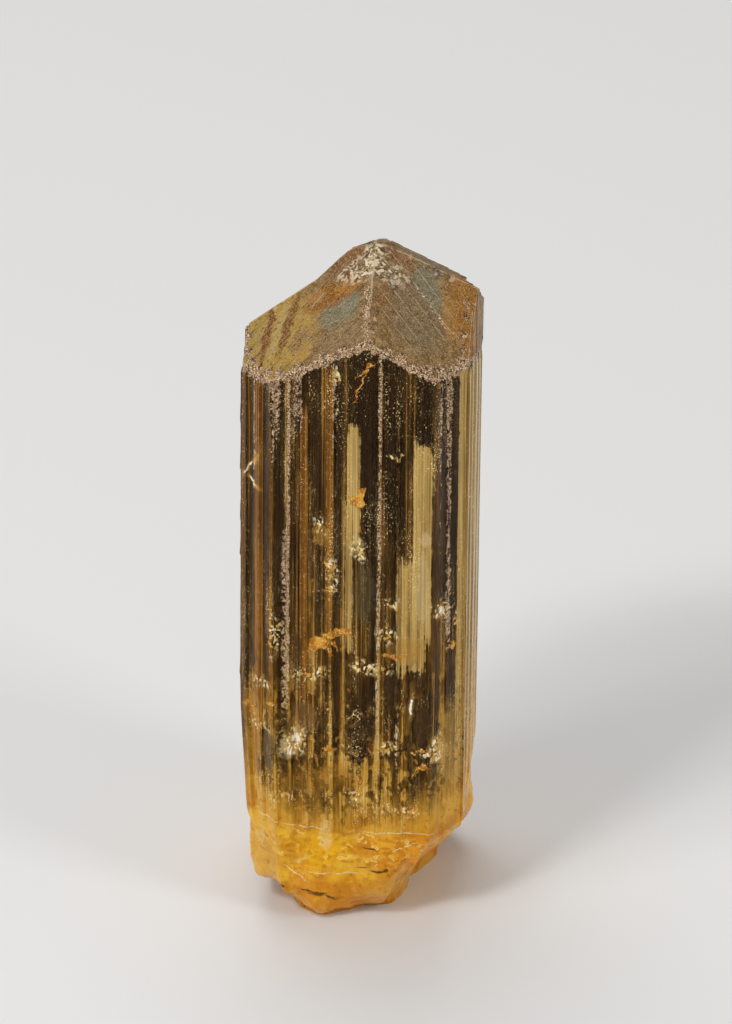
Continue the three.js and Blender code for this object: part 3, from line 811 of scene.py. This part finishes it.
def marked_wall(at, shade, frosted, low, high):
    """The front between two heights: its colour and frost once the flakes, patches, painted glints with
    their painted glow, and painted sparkles that lie there are added to the wall's own."""

    def near(marks):
        return [m for m in marks if low - 2.7 * max(m[1]) < m[0][1] < high + 2.7 * max(m[1])]

    flake = (at.crooked.nearest(near(orange_flakes)) + (at.hairs - 0.5) * 0.9).fade(0.75, 0.95)
    # White glints are painted light: a bright core (flash) with a painted glow round it.
    to_glint = at.jagged.nearest(near(white_glints))
    glow = to_glint.fade(0.5, 2.6)
    flash = (to_glint + (at.grains - 0.5) * 1.6).fade(0.4, 0.9)
    frosted = frosted | flake | (glow * 0.5) | flash
    ragged = (at.hairs - 0.5) * 1.2 + (at.grains - 0.5) * 0.8 + at.etched * 0.6
    for patch, hue in at.crooked.patches("in front", near(wall_patches), 0.45, 1.2, ragged):
        shade = mixed(patch, shade, hue)
        frosted = frosted | patch
    flake_colour = mixed(at.flecks.step(0.4, 0.62), colour(164, 96, 12), colour(222, 160, 50))
    # Pale specks on the flakes are painted highlights.
    flake_colour = mixed(at.specks.step(0.58, 0.7), flake_colour, colour(252, 224, 150))
    shade = mixed(glow * 0.55, shade, colour(240, 184, 74))
    shade = mixed(flake * 0.92, shade, flake_colour)
    shade = mixed(flash * 0.95, shade, colour(255, 250, 236))
    # Painted sparkles: the brightest small cells within the sparkling places, coloured as glints.
    sparkle_cells = at.jagged.cells(9.0, 9.0, 6.0)
    sparkle = at.crooked.nearest(near(sparkling_places)).fade(0.5, 1.3)
    sparkle = sparkle * (sparkle_cells + (sparkle - 1) * 0.3).step(0.56, 0.62)
    sparkle_colour = mixed(sparkle_cells.step(0.75, 0.95), colour(216, 172, 84), colour(255, 242, 200))
    return mixed(sparkle * 0.85, shade, sparkle_colour), frosted | sparkle


def base_colour(at):
    """The milky broken base: patches and lumps of orange, painted glints and shade on facets below the
    wall, and cracks.
    """
    lumps = at.crooked.cells(0.8, 0.8, 0.8)
    milk = mixed(at.curds.step(0.36, 0.62), colour(208, 132, 12), colour(244, 186, 46))
    milk = mixed((1 - at.z.step(0.4, 3.0)) * 0.8, milk, colour(216, 138, 16))
    milk = mixed(at.z.step(5.4, 7.4) * 0.7, milk, colour(206, 152, 52))
    base_front = 1 - at.y.step(-4.5, -2.5)
    for patch, hue in at.crooked.patches("in front", base_patches, 0.16, 1.2):
        milk = mixed(patch * base_front, milk, hue)
    milk = mixed(lumps.step(0.6, 0.9) * 0.3, milk, colour(240, 190, 76))
    milk = mixed((1 - lumps.step(0.1, 0.35)) * 0.3, milk, colour(176, 100, 8))
    milk = mixed(at.flecks.step(0.56, 0.72) * 0.3, milk, colour(246, 204, 104))
    milk = mixed((1 - at.flecks.step(0.3, 0.42)) * 0.5, milk, colour(152, 88, 16))

    # Facets in a band below the wall: the brightest take painted highlights and glints, the darkest
    # painted shade.
    facets = at.crooked.cells(2.6, 2.6, 4.5)
    bright_band = at.crooked.spot("in front", (-0.4, 5.1), (6.5, 1.5), 0, 0.25, 1.2)
    bright_band = bright_band * (base_front * 0.4 + 0.6)
    facet_glint = facets.step(0.86, 0.94) * at.specks.step(0.4, 0.6)
    milk = mixed(facets.step(0.5, 0.8) * bright_band * 0.45, milk, colour(250, 192, 36))
    milk = mixed(facet_glint * bright_band * 0.7, milk, colour(255, 228, 140))
    milk = mixed((1 - facets.step(0.1, 0.3)) * bright_band * 0.35, milk, colour(186, 112, 10))

    pale_crack = (1 - at.jagged.nearest(pale_cracks).step(0.5, 1.1)) * at.front
    dark_crack = (1 - at.jagged.nearest(dark_cracks).step(0.5, 1.1)) * (1 - at.y.step(-4.0, -3.0))
    milk = mixed(pale_crack * at.grains.step(0.35, 0.5) * 0.8, milk, colour(252, 236, 184))
    return mixed(dark_crack * 0.9, milk, colour(54, 28, 8))


def crystal_finish():
    """Golden scapolite: clear and dark between frosted streaks, sugary on the rim, milky at the base."""
    material = bpy.data.materials.new("golden scapolite")
    material.use_nodes = True
    tree = material.node_tree
    tree.nodes.clear()
    start = Wire(tree, None)
    at = surface_patterns(start)
    scapolite_ior = 1.55
    warm_gloss = (1, 0.84, 0.6, 1)
    dim_gloss = (0.18, 0.14, 0.08, 1)
    relief = (at.hairs + at.threads * 0.4) * (1 - at.sugary) + (at.grains + at.specks * 0.5) * at.sugary
    surface_bump = start.node(
        "ShaderNodeBump", {}, {"Strength": 0.6, "Distance": 0.06 * MM, "Height": relief}
    )
    soft_bump = start.node(
        "ShaderNodeBump",
        {},
        {"Strength": 0.5, "Distance": 0.1 * MM, "Height": at.flecks + at.grains * 0.3},
    )

    def surface(shade, roughness, gloss, tint, more):
        """A surface that refracts as scapolite does, with the strength and the tint of its gloss."""
        sockets = {"Base Color": shade, "Roughness": roughness, "IOR": scapolite_ior}
        sockets.update({"Specular IOR Level": gloss, "Specular Tint": tint, **more})
        return start.node("ShaderNodeBsdfPrincipled", {}, sockets)

    def satin(shade, roughness):
        """A dull or frosted surface of one colour."""
        return surface(shade, roughness, 0.2, warm_gloss, {"Normal": surface_bump})

    def split(share, first, second):
        """The first surface where the share is 0 and the second where it is 1."""
        return start.node("ShaderNodeMixShader", {}, {0: share, 1: first, 2: second})

    golden_water = mixed(at.lower, colour(226, 208, 172), colour(250, 226, 170))
    see_through = {"Transmission Weight": 1.0}
    clear = surface(golden_water, 0.05, 0.1, dim_gloss, {**see_through, "Normal": surface_bump})

    wall_shade, wall_frost = wall_streaks(at)
    look = split(wall_frost, clear, satin(wall_shade, 0.22))

    # The front is parted by height, so that each part only works out its own marks
    front_look = None
    for low, high in ((0.0, 13.0), (13.0, 22.0), (22.0, 40.0)):
        shade, frost = marked_wall(at, wall_shade, wall_frost, low, high)
        part = split(frost, clear, satin(shade, 0.22))
        if front_look:
            part = split(at.z.math("GREATER_THAN", at.z, low), front_look, part)
        front_look = part
    look = split(at.front, look, front_look)

    # Light that meets a wall from inside sees the same streaks, only blurred
    inner_clear = surface((0.9, 0.72, 0.42, 1), 0.1, 0.1, dim_gloss, see_through)
    inner_streaks = mixed(at.streaks.step(0.42, 0.6), colour(44, 28, 6), colour(176, 128, 46))
    inner_satin = surface(inner_streaks, 1.0, 0.0, (1, 1, 1, 1), {})
    inner_look = split(at.streaks.step(0.45, 0.6) * 0.5 + 0.3, inner_clear, inner_satin)
    from_inside = start.node("ShaderNodeNewGeometry", {}, {}, 6)
    look = split(from_inside, look, inner_look)

    look = split(at.pyramid * (1 - at.rim) * 0.97, look, satin(pyramid_colour(at), 0.5))
    milk_depth = {"Subsurface Weight": 0.2, "Subsurface Radius": (1.0, 0.7, 0.2)}
    milk_depth.update({"Subsurface Scale": 0.9 * MM, "Normal": soft_bump})
    look = split(at.milky * 0.88, look, surface(base_colour(at), 0.16, 0.2, warm_gloss, milk_depth))
    depth = start.node(
        "ShaderNodeVolumeAbsorption", {}, {"Color": (0.75, 0.66, 0.25, 1), "Density": 1000.0}
    )
    output = tree.nodes.new("ShaderNodeOutputMaterial")
    tree.links.new(look.socket, output.inputs["Surface"])
    tree.links.new(depth.socket, output.inputs["Volume"])
    return material


crystal_mesh = golden_crystal.data
crystal_mesh.materials.clear()
crystal_mesh.materials.append(crystal_finish())
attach(golden_crystal, "root")
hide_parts("crystal")

# What grew in with the crystal: golden threads along its length, and thin flakes of healed cracks,
# some stained orange. They are separate slivers, enclosed all round by the clear crystal.
draw = random.Random(5)
thread_count = 260
crack_count = 150
nearest_the_wall = 5.15
sideways_reach = 4.6


def slivers(name, kind, scatter, finish):
    """Copies one small rounded piece to many places, sizes and turns, and joins the copies."""
    bpy.ops.object.select_all(action="DESELECT")
    bpy.ops.mesh.primitive_uv_sphere_add(segments=kind[0], ring_count=kind[1], radius=MM)
    pattern = bpy.context.object
    pattern.data.materials.append(finish)
    copies = []
    for middle, turn, size in scatter:
        copied = bpy.data.objects.new(name, pattern.data.copy())
        copied.data.transform(Matrix.LocRotScale(Vector(middle) * MM, Euler(turn), Vector(size)))
        bpy.context.scene.collection.objects.link(copied)
        copies.append(copied)
    bpy.data.objects.remove(pattern)
    for copied in copies:
        copied.select_set(True)
    bpy.context.view_layer.objects.active = copies[0]
    bpy.ops.object.join()
    joined = bpy.context.object
    joined.name = name
    weigh(joined, "all", np.ones(len(joined.data.vertices)))
    press_in(joined, "all", clouds, (0.3, 0.3, 0.3), 0.03)
    bpy.ops.object.shade_smooth_by_angle(angle=math.radians(40))
    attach(joined, "root")
    return joined


def inside_place(low, high, deepest):
    """A place inside the prism, more often near its walls than in the middle."""
    across = draw.uniform(-sideways_reach, sideways_reach)
    deep = nearest_the_wall - deepest * draw.random() ** 2
    side = draw.choice((1, -1))
    plan = (across, side * deep) if draw.random() < 0.6 else (side * deep, across)
    return (*plan, draw.uniform(low, high))


def sliver_finish(name, dull, bright, roughness):
    """A glossy stain that varies from piece to piece."""
    material = bpy.data.materials.new(name)
    material.use_nodes = True
    tree = material.node_tree
    start = Wire(tree, None)
    place = start.node("ShaderNodeTexCoord", {}, {}, 3)
    place = place.vector("MULTIPLY", place, (1 / MM, 1 / MM, 1 / MM))
    shade = mixed(place.cloud(4, 0.9, 3).step(0.38, 0.62), dull, bright)
    surface = tree.nodes["Principled BSDF"]
    tree.links.new(shade.socket, surface.inputs["Base Color"])
    surface.inputs["Roughness"].default_value = roughness
    return material


thread_places = []
for _ in range(thread_count):
    half_length = draw.uniform(1.0, 6.0)
    middle = inside_place(8 + half_length, 31 - half_length, 4.5)
    size = (draw.uniform(0.03, 0.13), draw.uniform(0.03, 0.13), half_length)
    thread_places.append((middle, (0, 0, draw.uniform(0, 3)), size))
thread_finish = sliver_finish("golden threads", colour(170, 118, 40), colour(236, 204, 130), 0.3)
slivers("golden_threads", (6, 8), thread_places, thread_finish)

crack_places = []
for _ in range(crack_count):
    middle = inside_place(6.5, 6.5 + 15 * draw.random(), 4.0)
    turn = [draw.uniform(-0.6, 0.6), draw.uniform(-0.6, 0.6), draw.uniform(0, 3)]
    if draw.random() < 0.6:
        turn[0] += math.pi / 2
    crack_places.append((middle, turn, (draw.uniform(0.15, 0.7), draw.uniform(0.1, 0.4), 0.035)))
crack_finish = sliver_finish("healed cracks", colour(220, 140, 30), colour(255, 226, 150), 0.12)
slivers("healed_cracks", (10, 4), crack_places, crack_finish)

# The floor: plain and pale, well past the picture's edges.
bpy.ops.mesh.primitive_plane_add(size=4)
floor = bpy.context.object
floor.name = "floor"
floor_finish = bpy.data.materials.new("pale floor")
floor_finish.use_nodes = True
floor_shader = floor_finish.node_tree.nodes["Principled BSDF"]
floor_shader.inputs["Base Color"].default_value = (0.78, 0.78, 0.78, 1)
floor_shader.inputs["Roughness"].default_value = 0.6
floor.data.materials.append(floor_finish)

# The light: soft boxes round the crystal in a pale room.
world = bpy.data.worlds.new("pale room")
world.use_nodes = True
world.node_tree.nodes["Background"].inputs["Color"].default_value = (1, 0.98, 0.95, 1)
world.node_tree.nodes["Background"].inputs["Strength"].default_value = 0.3
bpy.context.scene.world = world


def soft_box(name, azimuth, elevation, distance, width, tall, watts):
    """An area light facing the crystal's middle, seen from the compass direction of its place."""
    data = bpy.data.lights.new(name, "AREA")
    data.shape = "RECTANGLE"
    data.size = width
    data.size_y = tall
    data.energy = watts
    lamp = bpy.data.objects.new(name, data)
    turn, rise = math.radians(azimuth), math.radians(elevation)
    toward = Vector((math.sin(turn) * math.cos(rise), -math.cos(turn) * math.cos(rise), math.sin(rise)))
    lamp.location = Vector((0, 0, 20 * MM)) + distance * toward
    lamp.rotation_mode = "QUATERNION"
    lamp.rotation_quaternion = (-toward).to_track_quat("-Z", "Y")
    bpy.context.scene.collection.objects.link(lamp)


soft_box("overhead", 200, 62, 0.4, 0.3, 0.3, 0.6)
soft_box("key", -32, 50, 0.4, 0.06, 0.06, 0.4)
soft_box("left window", -48, 30, 0.4, 0.12, 0.3, 0.5)
soft_box("right window", 62, 24, 0.4, 0.1, 0.3, 0.45)

settings = bpy.context.scene
settings.view_settings.view_transform = "Standard"
settings.cycles.max_bounces = 8
settings.cycles.transmission_bounces = 5
settings.cycles.glossy_bounces = 3
settings.cycles.diffuse_bounces = 3
